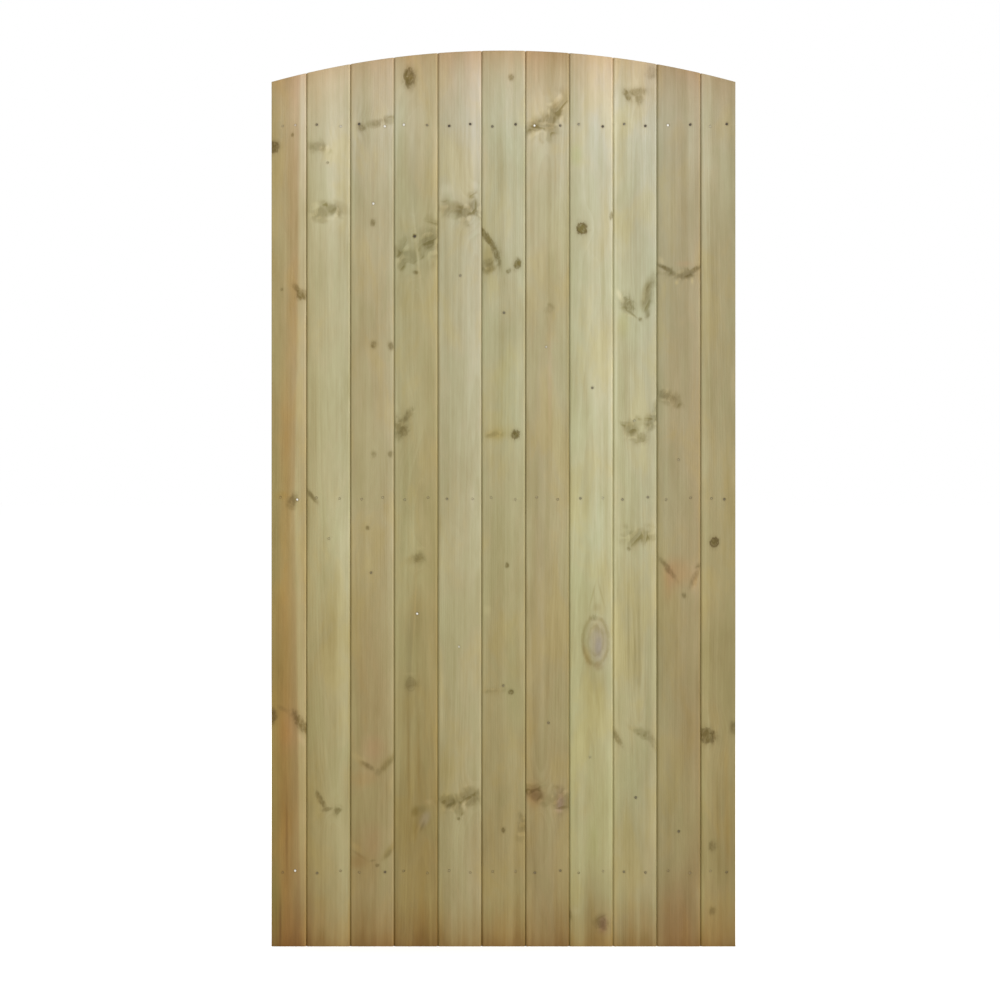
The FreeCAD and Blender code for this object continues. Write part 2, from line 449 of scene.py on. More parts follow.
# what boards, ledges and braces share, in millimetres
timberShape = dict(
    endArris=0.5,
    rowGap=12.0,  # widest gap between two stations
    endGap=2.5,  # between the inner points of an end
    knotReach=2.2,  # stations lie closer within this many half sizes of a knot, or of a patch
    patchReach=1.4,
    patchGap=2.4,
    sharpAngle=32.0,  # in degrees
)


# Stations along a timber: closer at its nails, knots and patches, and one an arris from each end.
def stationsOf(length, wood, shape, rules):
    end = shape["endArris"] * mm
    rules = rules + [([end / 2, length - end / 2], end, end)]
    for kind, reach, gap in [("knots", "knotReach", "knotGap"), ("patches", "patchReach", "patchGap")]:
        for place, height, halfWidth, halfHeight, *rest in wood[kind]:
            widest = max(halfWidth, halfHeight) if kind == "knots" else halfHeight
            rules.append(([height * mm], widest * shape[reach] * mm, shape[gap] * mm))
    stations = spacedOut(0, length, shape["rowGap"] * mm, rules)
    stations[1], stations[-2] = end, length - end
    return stations


# Outline with each corner rounded: a corner becomes the curve (1-t)^2 a + 2t(1-t) corner + t^2 b,
# where a and b lie one setback before and after it.
def roundCorners(corners, setbacks, steps=3):
    corners = np.asarray(corners, float)
    setbacks = np.asarray(setbacks, float)[:, None]
    ahead = np.roll(corners, -1, 0) - corners
    ahead /= np.linalg.norm(ahead, axis=1)[:, None]
    behind = np.roll(ahead, 1, 0)
    start, end = corners - behind * setbacks, corners + ahead * setbacks
    t = np.linspace(0, 1, steps)[None, :, None]
    return (1 - t) ** 2 * start[:, None] + 2 * t * (1 - t) * corners[:, None] + t**2 * end[:, None]


# Outline moved inwards along its normals, which gives an end its small arris.
def drawnIn(outline, distance):
    tangent = np.roll(outline, -1, 0) - np.roll(outline, 1, 0)
    normal = np.stack([tangent[:, 1], -tangent[:, 0]], -1) / np.linalg.norm(tangent, axis=1)[:, None]
    return outline - normal * distance


# The outline repeated at every station, and its drawn-in copy at the first and the last.
def sweepOutline(outline, drawn, stations):
    across = np.repeat(outline[None, :, 0], len(stations), 0)
    depth = np.repeat(outline[None, :, 1], len(stations), 0)
    across[[0, -1]], depth[[0, -1]] = drawn[:, 0], drawn[:, 1]
    return across, depth, np.repeat(stations[:, None], len(outline), 1)


# 1 for the points of both ends, the first and last row and the inner points, and 0 between them.
def endFlags(rows, points, inner):
    flags = np.zeros((rows, points))
    flags[[0, -1]] = 1
    return np.concatenate([flags.ravel(), np.ones(2 * len(inner))])


# Points of a square grid that lie within an outline, by the even-odd rule, and clear of its edge.
def pointsWithin(outline, gap):
    low, high = outline.min(0), outline.max(0)
    axes = [np.arange(low[axis] + gap / 2, high[axis], gap) for axis in (0, 1)]
    points = np.stack(np.meshgrid(*axes), -1).reshape(-1, 2)
    x, y = points[:, 0, None], points[:, 1, None]
    after = np.roll(outline, -1, 0)
    passes = (outline[:, 1] > y) != (after[:, 1] > y)
    run, rise = (after - outline).T
    crossing = outline[:, 0] + (y - outline[:, 1]) / np.where(rise == 0, 1, rise) * run
    isInside = (passes & (x < crossing)).sum(1) % 2 == 1
    isClear = np.hypot(x - outline[:, 0], y - outline[:, 1]).min(1) > gap * 0.35
    return points[isInside & isClear]


# Closed timber: the outline carried along stations, joined into quads, with both ends filled by
# triangles between the outline's points and the inner points. Vertex (row, point) is number
# row * points + point, and the inner points of the first and last ends come after those.
def timberMesh(name, places, rows, endOutline, inner):
    points = len(endOutline)
    here = np.arange(rows * points).reshape(rows, points)
    beside = np.roll(here, -1, 1)
    quads = np.stack([here[:-1], beside[:-1], beside[1:], here[1:]], -1).reshape(-1, 4)
    flat = [Vector((x, y)) / mm for x, y in np.concatenate([endOutline, inner])]
    found = geometry.delaunay_2d_cdt(flat, [], [list(range(points))], 1, 1e-7)
    order = np.array([ids[0] for ids in found[3]])
    cap = order[np.array(found[2])]
    beyond = cap - points + rows * points
    caps = np.concatenate([np.where(cap < points, cap, beyond)[:, ::-1],
                           np.where(cap < points, cap + (rows - 1) * points, beyond + len(inner))])
    loops = np.concatenate([quads.ravel(), caps.ravel()]).astype(np.int32)
    sizes = np.concatenate([np.full(len(quads), 4), np.full(len(caps), 3)])
    starts = np.concatenate([[0], np.cumsum(sizes)[:-1]]).astype(np.int32)
    mesh = bpy.data.meshes.new(name)
    mesh.vertices.add(len(places))
    mesh.vertices.foreach_set("co", places.ravel().astype(np.float32))
    mesh.loops.add(len(loops))
    mesh.loops.foreach_set("vertex_index", loops)
    mesh.polygons.add(len(sizes))
    mesh.polygons.foreach_set("loop_start", starts)
    mesh.update(calc_edges=True)
    mesh.validate()
    return mesh


def addFields(mesh, fields):
    for name, values in fields.items():
        made = mesh.attributes.new(name, "FLOAT_VECTOR", "POINT")
        made.data.foreach_set("vector", np.ascontiguousarray(values, dtype=np.float32).ravel())


grainShape = dict(
    # waves of the pith's line: size in metres, and radians in a metre
    acrossWaves=[(0.006, 2.1), (0.002, 6.3)],
    depthWaves=[(0.004, 2.9), (0.0014, 8.7)],
    halfBoard=0.045,  # where a board's tint across is at its full
    ringPush=0.45,  # how far a knot pushes the rings aside, as a share of the way to it
    ringLift=0.12,  # and away from the pith
    swirlPush=0.6,  # how much of that a full swirl does
    pushAcross=2.6,  # reach of the push, in half widths of the knot
    pushAlong=3.4,  # and in half heights
    darkFade=0.7,  # how fast a knot's darkness fades, and its swirl
    swirlFade=0.3324,
    outlineReach=1.6,  # how far out its outlines are drawn, by its ellipse
    leastDark=0.05,  # a fainter knot only swirls
    knotSlant=(0.12, 0.35),  # a knot moves this far across and up with depth
    sapwoodSlant=0.3,
    seedShift=(1.37, 0.71, 2.93),  # between the noise of one timber and the next, so no two are alike
    stripeEnd=(0.04, 0.12),  # how softly a stripe ends: at most this many metres, and this share of it
)


# Distances from an ellipse turned by its lean: across, along, and e, which is 1 on its edge.
def fromEllipse(across, depth, along, ellipse):
    place, height, halfWidth, halfHeight, lean = ellipse[:5]
    turn = math.radians(lean)
    x = across - place * mm - depth * grainShape["knotSlant"][0]
    z = along - height * mm - depth * grainShape["knotSlant"][1]
    sideways = x * math.cos(turn) + z * math.sin(turn)
    endways = -x * math.sin(turn) + z * math.cos(turn)
    return x, z, np.hypot(sideways / (halfWidth * mm), endways / (halfHeight * mm))


def waves(along, sizes, turns):
    return sum(size * np.sin(along * rate + turn) for (size, rate), turn in zip(sizes, turns))


# A tint multiplied by a colour, as far as the amount says.
def tinted(tint, amount, colour):
    return tint * (1 + amount[..., None] * (np.asarray(colour) - 1))


# Tint of a timber: its own, to the power of how far across and up a point is, then multiplied by
# stripes (the bell exp(-d^2) across a line, with ends of 1 / (1 + exp(-d))), by patches and washes
# (exp(-e^3)), and by sapwood beyond its line (1 / (1 + exp(-d))).
def woodTint(across, depth, along, wood):
    sideways = np.clip(across / grainShape["halfBoard"], -1, 1)[..., None]
    upwards = (along / cadHigh.z * 2 - 1)[..., None]
    tint = np.array(wood["tint"]) * np.array(wood["across"]) ** sideways * np.array(wood["up"]) ** upwards
    for atLow, atHigh, half, low, high, colour in wood["stripes"]:
        rise = (along - low * mm) / ((high - low) * mm)
        centre = (atLow + (atHigh - atLow) * np.clip(rise, -1, 2)) * mm
        side = np.exp(-(((across - centre) / (half * mm)) ** 2))
        soft = min(grainShape["stripeEnd"][0], (high - low) * mm * grainShape["stripeEnd"][1])
        ends = 1 / (1 + np.exp(-(along - low * mm) / soft)) / (1 + np.exp((along - high * mm) / soft))
        tint = tinted(tint, side * ends, colour)
    for patch in wood["patches"] + wood["washes"]:
        e = fromEllipse(across, depth, along, patch)[2]
        tint = tinted(tint, np.exp(-(e**3)), patch[5])
    if "sapwood" in wood:
        side, low, middle, high, soft, colour = wood["sapwood"]
        edge = np.interp(along, np.array([0, 0.5, 1]) * cadHigh.z, [low * mm, middle * mm, high * mm])
        past = side * (across - edge - depth * grainShape["sapwoodSlant"]) / (soft * mm)
        tint = tinted(tint, 1 / (1 + np.exp(-past)), colour)
    return tint


# Where the rings and knots of a timber lie. The pith's line runs along the timber and wavers. Each
# knot pushes the rings aside by the bell exp(-(x / width)^2 - (z / height)^2), its edge is where its
# ellipse e is 1, and its darkness and swirl fade by exp(-fade e^2). Between knots the nearer counts.
def woodFields(across, depth, along, isEnd, seed, wood):
    shape = grainShape
    turns = np.random.default_rng(seed).uniform(0, 2 * np.pi, 4)
    pithAcross, pithDepth, drift = wood["pith"]
    fromAcross = across - pithAcross - waves(along, shape["acrossWaves"], turns[:2])
    fromDepth = depth - pithDepth - drift * along - waves(along, shape["depthWaves"], turns[2:])
    inside = np.full(across.shape, -3.0)
    weight = np.full(across.shape, 1e-6)
    outlined, dark, swirl = np.zeros((3, *across.shape))
    for knot in wood["knots"]:
        place, height, halfWidth, halfHeight, lean, darkness, swirling, outline = (knot + (0.0,))[:8]
        x, z, e = fromEllipse(across, depth, along, knot)
        reachAcross, reachAlong = halfWidth * mm * shape["pushAcross"], halfHeight * mm * shape["pushAlong"]
        bell = np.exp(-((x / reachAcross) ** 2) - (z / reachAlong) ** 2)
        push = min(1.0, darkness + shape["swirlPush"] * swirling) * bell
        fromAcross = fromAcross - shape["ringPush"] * push * x
        fromDepth = fromDepth * (1 + shape["ringLift"] * push)
        outlined = np.maximum(outlined, outline * (e < shape["outlineReach"]))
        if darkness > shape["leastDark"]:
            inside = np.maximum(inside, 1 - e)
            near = np.exp(-(e**2) * shape["darkFade"]) + 1e-9
            dark += near * darkness
            weight += near
        swirl = np.maximum(swirl, swirling * np.exp(-(e**2) * shape["swirlFade"]))
    return dict(
        grain=np.stack([across, depth, along], -1) + seed * np.array(shape["seedShift"]),
        ringField=np.stack([np.hypot(fromAcross, fromDepth), outlined, isEnd], -1),
        knot=np.stack([np.clip(inside, -1.5, 1), dark / weight, swirl], -1),
        tint=woodTint(across, depth, along, wood),
    )


def addToScene(name, data):
    made = bpy.data.objects.new(name, data)
    bpy.context.scene.collection.objects.link(made)
    return made


def showPiece(mesh, sharpAngle, material, node):
    mesh.polygons.foreach_set("use_smooth", np.ones(len(mesh.polygons), bool))
    mesh.set_sharp_from_angle(angle=math.radians(sharpAngle))
    mesh.materials.append(material)
    piece = addToScene(node + "_finished", mesh)
    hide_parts(node)
    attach(piece, "root")


nailShape = dict(
    headRadius=2.4,  # in millimetres, as are all lengths here
    shankRadius=1.4,
    headHeight=1.6,
    pointLength=4.0,
    # domed top of a head: share of its radius, and depth
    dome=[(0, 0), (0.45, 0.04), (0.8, 0.12), (0.96, 0.3), (1, 0.5)],
    headEdge=0.2,
    headFoot=0.97,  # underside of a head, as a share of its radius
    tipLength=0.8,
    tipRadius=0.4,  # as a share of the shank's
    segments=16,
    tilt=7.0,  # most that a head leans, in degrees
    sharpAngle=40.0,
    firstSeed=40,
    clusterGap=10.0,  # two nails of a row are further apart than this
    # each nail of a row from left to right, two to a board on the ledges and one on the braces
    rows={
        "top_ledge_nails": "hpmpdbbfddmdbmfdmdbdhd",
        "middle_ledge_nails": "hbhhhhhhfhhhhhfhffhhhm",
        "bottom_ledge_nails": "hbfhhmhhhhhhffhhffhhhf",
        "upper_brace_nails": "hbdfmpmhh",
        "lower_brace_nails": "hfbpffhmm",
    },
    # share of bare zinc and of dark stain, which is also painted shade of the nail's pocket: hidden under
    # pressed wood, pale, faint, medium, dark, bright
    looks=dict(h=(0.0, 0.04), p=(0.3, 0.05), f=(0.0, 0.4), m=(0.0, 0.65), d=(0.05, 0.95), b=(1.0, 0.55)),
)


# One place (x, z) for each nail of a node: its vertices fall into clusters across the gate.
def nailPlaces(node):
    corners = np.array([v.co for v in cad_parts[node].data.vertices])
    corners = corners[np.argsort(corners[:, 0])]
    clusters = np.split(corners, np.flatnonzero(np.diff(corners[:, 0]) > nailShape["clusterGap"] * mm) + 1)
    return np.array([(c.min(0) + c.max(0))[[0, 2]] / 2 for c in clusters])


# Nails as one surface of revolution each: radius and depth by step, carried round the Y axis.
# Pressed wood on a head has the colour of the board around it.
def makeNails(node, shape, seed):
    rng = np.random.default_rng(seed)
    mine = np.flatnonzero(nails["node"] == node)
    middleX, middleZ = nails["place"][mine].T[:, :, None, None]
    low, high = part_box(node)
    r, s = shape["headRadius"] * mm, shape["shankRadius"] * mm
    top, under, point = low.y, low.y + shape["headHeight"] * mm, high.y
    profile = [(share * r, top + down * mm) for share, down in shape["dome"]]
    profile += [(r, under - shape["headEdge"] * mm), (shape["headFoot"] * r, under), (s, under),
                (s, (under + point) / 2), (s, point - shape["pointLength"] * mm),
                (shape["tipRadius"] * s, point - shape["tipLength"] * mm), (0, point)]
    radius, depth = np.array(profile).T[:, None, :, None]
    angle = np.arange(shape["segments"]) / shape["segments"] * 2 * np.pi
    x = radius * np.cos(angle) + middleX
    z = radius * np.sin(angle) + middleZ
    y = np.broadcast_to(depth, x.shape).copy()
    lean = np.tan(np.radians(rng.uniform(-shape["tilt"], shape["tilt"], (2, len(mine), 1, 1))))
    isHead = np.clip((under - y) / (under - top), 0, 1)
    y += isHead * (lean[0] * (x - middleX) + lean[1] * (z - middleZ))
    grid = np.stack([x, np.maximum(y, top), z], -1)
    count, steps, around = grid.shape[:3]
    index = np.arange(count * steps * around).reshape(count, steps, around)
    beside = np.roll(index, -1, 2)
    quads = np.stack([index[:, :-1], beside[:, :-1], beside[:, 1:], index[:, 1:]], -1).reshape(-1, 4)
    mesh = bpy.data.meshes.new(node + "_turned")
    mesh.from_pydata(grid.reshape(-1, 3).tolist(), [], quads.tolist())
    look = np.stack([nails["zinc"][mine], nails["dark"][mine], np.zeros(count)], -1)
    for name, values in dict(look=look, pressed=nails["wood"][mine]).items():
        addFields(mesh, {name: np.repeat(values, steps * around, 0)})
    showPiece(mesh, shape["sharpAngle"], zinc, node)


# every nail of the gate, in one table
spots = {node: nailPlaces(node) for node in nailShape["rows"]}
looks = np.array([nailShape["looks"][letter] for row in nailShape["rows"].values() for letter in row])
nails = dict(
    node=np.repeat(list(spots), [len(found) for found in spots.values()]),
    place=np.concatenate(list(spots.values())),
    zinc=looks[:, 0],
    dark=looks[:, 1],
    wood=np.ones((len(looks), 3)),
)

boardShape = dict(
    timberShape,
    veeChamfer=3.0,
    tongueReach=6.5,
    tongueThickness=6.0,
    groovePlay=0.3,
    grooveDepth=6.5,
    arris=0.3,
    swelling=0.15,  # damp boards close their joints by this much each side
    hollow=0.12,  # the face is this much lower along its middle
    archFrom=1700.0,  # rows bend to the arch above this height
    columnGap=1.7,  # widest gap of the mesh across the face, and the gaps round a nail and a knot
    nailGap=1.0,
    knotGap=2.2,
    backColumns=16,
    nailReach=9.0,
    pocketDepth=2.6,
    # pocket round a nail: distance on the plain grid, distance in the pocket, share of its depth
    pocket=[(0, 0, 1), (1, 1.4, 1), (2, 2.48, 1), (3, 2.6, 0.055), (4, 3.5, 0.012), (5.2, 5.2, 0),
            (40, 40, 0)],
    pocketHold=(5.0, 9.0),  # the grid is round up to the first distance, and square from the second
    pocketReach=12.0,
    # painted highlight on the chamfers of each vee joint
    veeHighlightTint=(1.17, 1.17, 1.13),
    veeFade=0.6,  # the chamfer's painted highlight comes in over this depth
    veeMargin=(0.5, 0.2),  # and reaches this far past it, across and in depth
    # painted warm bounce light inside the joints, lightening their shade
    gapBounceLightTint=(1.3, 1.08, 0.84),
    backMargin=0.5,  # the painted bounce light inside the joint stops this far from the back
    # darker round a dark nail: a stain, and painted shade of its pocket as well
    nailStainAndShade=(0.5, 0.44, 0.36),
    nailStainAndShadeReach=3.2,
    archStain=(0.94, 0.86, 0.78),
    archStainReach=30.0,
)

# Each board: its tint, how the tint changes across (at its right edge) and up (at its top), and its
# pith (across, depth, drift per metre) in metres. The rest is in millimetres from the board's middle
# and its foot. Stripes: across at the lower end, across at the upper end, half width, from height,
# to height, tint. Patches: across, height, half width, half height, lean, tint. Washes: the same, for
# broad changes that need no finer mesh. Knots: the same five, darkness, swirl, and the strength of an
# outline where there is one. Sapwood: on which side it is, where its line lies at the foot, the middle
# and the top, how soft the line is, tint.
boards = {
    "left_edge_board": dict(
        tint=(0.9, 0.77, 0.62), across=(1.14, 1.08, 1.3), up=(1.05, 1.05, 1.15),
        pith=(-0.05, 0.03, 0.004), sapwood=(1, 24, 12, 24, 1.2, (1.2, 1.36, 1.5)),
        stripes=[(-6, -6, 13, 0, 1150, (1.02, 0.88, 0.68)), (10, 10, 16, 1200, 1700, (1.02, 0.95, 0.86)),
            (-4, -4, 2, 170, 290, (0.78, 0.72, 0.62)), (-17, -17, 2, 5, 90, (0.7, 0.62, 0.5)),
            (0, 0, 20, 400, 470, (1.08, 1.0, 1.1))],
        patches=[(26, 414, 6, 13, 30, (1.1, 1.08, 1.16)), (-14, 906, 14, 9, 0, (1.0, 0.95, 0.8))],
        washes=[(-26, 1600, 12, 120, 0, (0.91, 0.88, 0.8)), (-4, 830, 24, 120, 0, (1.02, 1.09, 1.16)),
            (-23, 400, 12, 290, 0, (1.0, 0.94, 0.76)), (-28, 70, 14, 85, 0, (0.84, 0.93, 0.8)),
            (22, 70, 12, 85, 0, (0.87, 0.84, 0.8))],
        knots=[(-32, 1606, 12, 11, 0, 0.88, 0.45), (-14, 1320, 3, 3, 0, 0.6, 0), (7, 1630, 3, 4, 0, 0.7, 0),
            (24, 1309, 9, 10, 12, 0.8, 0.4), (16, 1323, 5, 11, 42, 0.35, 0.35),
            (8, 897, 9, 11, 0, 0.5, 0.55), (22, 450, 8, 26, 34, 0.75, 0.3),
            (-33, 464, 9, 16, -10, 0.75, 0.3), (-10, 476, 4, 14, 64, 0.12, 0.35)]),
    "board_1": dict(
        tint=(1.06, 1.06, 1.05), across=(1.1, 1.14, 1.26), up=(1.03, 0.98, 0.97),
        pith=(0.015, 0.05, -0.012),
        stripes=[],
        patches=[(-26, 1492, 9, 4, 15, (1.1, 1.08, 1.08)), (4, 1462, 16, 3, 8, (1.07, 1.06, 1.06)),
            (-22, 300, 5, 12, 28, (1.06, 1.05, 1.04))],
        washes=[(-16, 1600, 24, 110, 0, (0.93, 0.93, 0.91)), (-26, 1100, 9, 130, 0, (0.93, 0.9, 0.85)),
            (4, 820, 28, 120, 0, (1.04, 1.06, 1.08)), (0, 540, 44, 130, 0, (0.95, 0.93, 0.9)),
            (34, 280, 14, 110, 0, (0.94, 0.91, 0.86)), (-36, 70, 12, 85, 0, (0.86, 0.81, 0.78))],
        knots=[(-21, 1607, 18, 9, 0, 0.3, 0.7), (-15, 1474, 14, 10, 10, 0.2, 0.9),
            (9, 1480, 16, 10, -14, 0.4, 0.9), (-33, 905, 4, 16, 40, 0.5, 0.3),
            (-15, 294, 5, 18, 30, 0.65, 0.3), (-2, 276, 9, 4, 10, 0.5, 0.3), (19, 272, 6, 8, -30, 0.6, 0.5)]),
    "board_2": dict(
        tint=(0.97, 0.93, 0.9), across=(1.1, 1.11, 1.21), up=(1.02, 1.01, 1.03),
        pith=(-0.02, -0.035, 0.01),
        stripes=[(1, 1, 3, 1440, 1580, (0.93, 0.9, 0.88)), (2, 2, 22, 358, 420, (1.06, 0.97, 1.02)),
            (2, 2, 24, 182, 240, (1.05, 0.98, 1.02))],
        patches=[(-28, 378, 7, 20, 52, (1.13, 1.12, 1.1)), (-14, 362, 5, 16, 56, (0.9, 0.87, 0.8)),
            (6, 400, 24, 22, 0, (1.03, 0.96, 0.97)), (38, 330, 4, 26, -6, (1.1, 1.09, 1.06)),
            (30, 368, 8, 24, -38, (0.86, 0.83, 0.68)), (-14, 336, 26, 16, 0, (1.02, 0.94, 0.9)),
            (-32, 200, 6, 15, 50, (1.13, 1.11, 1.08)), (-28, 170, 18, 14, 0, (0.94, 0.86, 0.78)),
            (-26, 184, 2.5, 16, 56, (0.88, 0.83, 0.74)), (34, 192, 7, 22, -36, (0.86, 0.82, 0.66))],
        washes=[(-28, 1600, 16, 110, 0, (1.06, 1.09, 1.22)), (-10, 1240, 40, 260, 0, (0.99, 0.96, 0.94)),
            (-38, 820, 9, 120, 0, (1.06, 1.06, 1.13)), (34, 820, 12, 120, 0, (1.06, 1.08, 1.14)),
            (-4, 540, 34, 130, 0, (0.94, 0.89, 0.84)), (28, 110, 18, 150, 0, (1.04, 1.1, 1.14))],
        knots=[(-22, 1644, 8, 6, 0, 0.55, 0.5), (16, 1656, 18, 6, 12, 0.35, 0.7),
            (2, 1454, 5, 7, 0, 0.65, 0.2), (3, 1209, 6, 7, 0, 0.65, 0.3), (38, 1207, 5, 8, 0, 0.5, 0.4),
            (4, 988, 5, 7, 0, 0.4, 0.3), (37, 989, 5, 6, 0, 0.5, 0.3), (-9, 841, 4, 4, 0, 0.7, 0.15),
            (-9, 363, 4, 16, 56, 0.38, 0.3), (12, 350, 6, 7, 0, 0.3, 0.2), (30, 366, 5, 17, -42, 0.2, 0.3),
            (32, 186, 4, 12, -40, 0.3, 0.2), (11, 163, 4, 3, 0, 0.5, 0.1), (0, 172, 6, 2, 10, 0.3, 0)]),
    "board_3": dict(
        tint=(0.89, 0.86, 0.75), across=(0.99, 0.95, 0.9), up=(1.1, 1.11, 1.22),
        pith=(0.005, 0.045, 0.014),
        stripes=[(-39, -39, 5, 200, 1700, (1.08, 1.08, 1.12)), (40, 40, 5, 0, 1700, (1.08, 1.08, 1.1)),
            (10, -6, 2.2, 1325, 1485, (1.18, 1.19, 1.28)), (-4, -6, 9, 1440, 1640, (0.95, 0.98, 1.02)),
            (-14, -16, 3, 310, 480, (0.88, 0.82, 0.7)), (6, 5, 3, 300, 470, (0.9, 0.84, 0.72)),
            (-8, 0, 5, 610, 760, (0.88, 0.84, 0.76)), (-8, 2, 1.6, 540, 765, (1.13, 1.11, 1.13)),
            (-16, -16, 12, 1750, 1900, (0.92, 0.84, 0.72))],
        patches=[(16, 256, 14, 24, -25, (0.88, 0.85, 0.7)), (18, 256, 9, 17, -25, (1.14, 1.22, 2.1)),
            (-1, 271, 8, 11, -20, (0.74, 0.69, 0.44)), (13, 276, 8, 8, 0, (0.84, 0.85, 0.8)),
            (7, 240, 3, 20, -25, (1.1, 1.09, 1.1)), (13, 242, 3, 10, -20, (0.8, 0.79, 0.7)),
            (26, 292, 9, 7, 0, (1.12, 1.12, 1.2)), (-2, 236, 6, 22, 0, (0.94, 0.9, 0.74)),
            (-10, 776, 15, 9, 20, (0.92, 0.89, 0.82)), (8, 800, 7, 4, 10, (1.08, 1.07, 1.1)),
            (-12, 548, 12, 3, 0, (1.1, 1.1, 1.14))],
        washes=[(4, 1398, 38, 44, 0, (0.93, 0.97, 1.0)), (38, 1600, 6, 110, 0, (1.18, 1.18, 1.28)),
            (-6, 1600, 24, 110, 0, (0.99, 0.93, 0.91)), (-16, 820, 22, 130, 0, (1.06, 1.1, 1.15)),
            (14, 560, 20, 130, 0, (1.05, 1.07, 1.12)), (-12, 560, 8, 130, 0, (0.9, 0.9, 0.9)),
            (-18, 280, 14, 110, 0, (0.93, 0.9, 0.82)), (20, 70, 20, 85, 0, (1.16, 1.19, 1.17))],
        knots=[(-13, 1746, 11, 17, 0, 0.85, 0.35), (-3, 1428, 4, 4, 0, 0.7, 0.1),
            (30, 1420, 14, 26, 0, 0.35, 0.8), (-27, 1391, 10, 18, 0, 0.15, 0.78),
            (-8, 1382, 7, 12, 0, 0.1, 0.45), (-1, 1354, 5, 4, 0, 0.65, 0.2),
            (-30, 1044, 13, 19, 0, 0.7, 0.4), (-16, 1066, 6, 20, -35, 0.35, 0.5),
            (5, 780, 11, 9, 0, 0.55, 0.45), (-10, 527, 10, 14, 0, 0.2, 0.35, 0.4),
            (17, 257, 12, 23, -25, 0.0, 0.1, 0.35), (30, 292, 10, 8, 0, 0.0, 0.3)]),
    "board_4": dict(
        tint=(1.05, 1.07, 1.17), across=(1.14, 1.15, 1.25), up=(0.99, 0.95, 0.95),
        pith=(0.03, -0.04, -0.008),
        stripes=[(0, 0, 60, 1780, 1900, (0.93, 0.86, 0.78)), (-36, -36, 2.5, 410, 560, (1.14, 1.13, 1.18))],
        patches=[(-27, 1521, 11, 12, 0, (1.12, 1.12, 1.18)), (-16, 1485, 24, 11, 0, (0.88, 0.83, 0.74)),
            (8, 282, 4, 10, 30, (1.22, 1.22, 1.3)), (-14, 298, 17, 12, 0, (0.91, 0.9, 0.82)),
            (22, 1480, 2.5, 9, 30, (1.16, 1.15, 1.16))],
        washes=[(-20, 1480, 24, 240, 0, (0.95, 0.94, 0.89)), (8, 820, 28, 130, 0, (1.06, 1.07, 1.11)),
            (-40, 70, 8, 85, 0, (1.24, 1.27, 1.3)), (30, 160, 16, 170, 0, (0.93, 0.91, 0.88))],
        knots=[(-28, 1484, 14, 10, 20, 0.1, 0.5), (5, 1474, 15, 12, -20, 0.35, 1),
            (28, 1482, 11, 16, 0, 0.4, 1), (19, 298, 14, 14, 0, 0.3, 0.95),
            (-15, 286, 16, 12, -20, 0.3, 0.9), (-2, 257, 3, 3, 0, 0.65, 0.1), (37, 304, 4, 10, 0, 0.5, 0.5)]),
    "board_5": dict(
        tint=(0.97, 0.98, 0.98), across=(1.07, 1.08, 1.12), up=(1.04, 1.05, 1.09), pith=(-0.06, 0.02, 0.0),
        stripes=[(0, 0, 60, 1775, 1900, (0.93, 0.85, 0.76)), (-12, -12, 24, 1020, 1045, (0.97, 0.93, 0.82))],
        patches=[(-29, 1388, 12, 20, 0, (0.84, 0.8, 0.66)), (-33, 676, 8, 10, 0, (1.1, 1.1, 1.12)),
            (-26, 1360, 14, 6, 20, (0.88, 0.84, 0.7)), (-20, 1028, 20, 10, 0, (0.95, 0.92, 0.78)),
            (-24, 512, 18, 8, 0, (0.95, 0.93, 0.88))],
        washes=[(-38, 1600, 8, 110, 0, (1.14, 1.1, 1.13)), (8, 1370, 26, 130, 0, (1.08, 1.08, 1.16)),
            (8, 1100, 26, 130, 0, (1.03, 1.09, 1.13)), (18, 540, 14, 130, 0, (0.92, 0.94, 0.88)),
            (0, 70, 70, 85, 0, (1.15, 1.2, 1.22))],
        knots=[(15, 1746, 5, 6, 0, 0.6, 0.3), (-33, 1424, 6, 30, 40, 0.84, 0.2),
            (-15, 1392, 6, 24, 16, 0.76, 0.25), (-32, 1365, 15, 12, 0, 0.42, 0.5),
            (28, 1371, 7, 10, -15, 0.85, 0.4), (10, 1357, 4, 5, -30, 0.75, 0.1),
            (24, 1028, 8, 9, -20, 0.9, 0.3), (-20, 1030, 18, 5, 0, 0.15, 0.5), (7, 766, 4, 5, 0, 0.7, 0.2),
            (15, 511, 5, 5, 0, 0.85, 0.2), (-24, 516, 20, 4, 0, 0.12, 0.5), (0, 234, 4, 5, 0, 0.75, 0.2),
            (37, 240, 8, 18, 0, 0.3, 0.7)]),
    "board_6": dict(
        tint=(0.95, 0.92, 0.9), across=(0.99, 0.99, 0.98), up=(1.01, 0.98, 0.95),
        pith=(-0.005, 0.055, -0.01),
        stripes=[(5, 5, 4, 1040, 1230, (1.18, 1.14, 1.28)), (0, 0, 60, 1775, 1900, (0.92, 0.82, 0.73)),
            (-26, -26, 14, 280, 330, (0.98, 0.86, 0.78)), (26, 26, 9, 270, 320, (1.0, 0.95, 1.2))],
        patches=[(26, 286, 8, 16, -15, (1.06, 1.02, 1.3)), (-22, 304, 20, 14, 0, (0.92, 0.82, 0.78)),
            (-34, 1656, 6, 8, 0, (1.1, 1.08, 1.08))],
        washes=[(20, 1600, 24, 110, 0, (1.07, 1.1, 1.2)), (20, 1370, 26, 130, 0, (1.12, 1.13, 1.16)),
            (26, 1100, 18, 130, 0, (1.04, 1.08, 1.14)), (-38, 820, 9, 120, 0, (1.1, 1.13, 1.2)),
            (-14, 820, 9, 380, 0, (0.92, 0.9, 0.89)), (-38, 420, 9, 200, 0, (1.1, 1.08, 1.03)),
            (-38, 70, 12, 85, 0, (1.15, 1.16, 1.14)), (34, 110, 12, 140, 0, (1.08, 1.14, 1.24))],
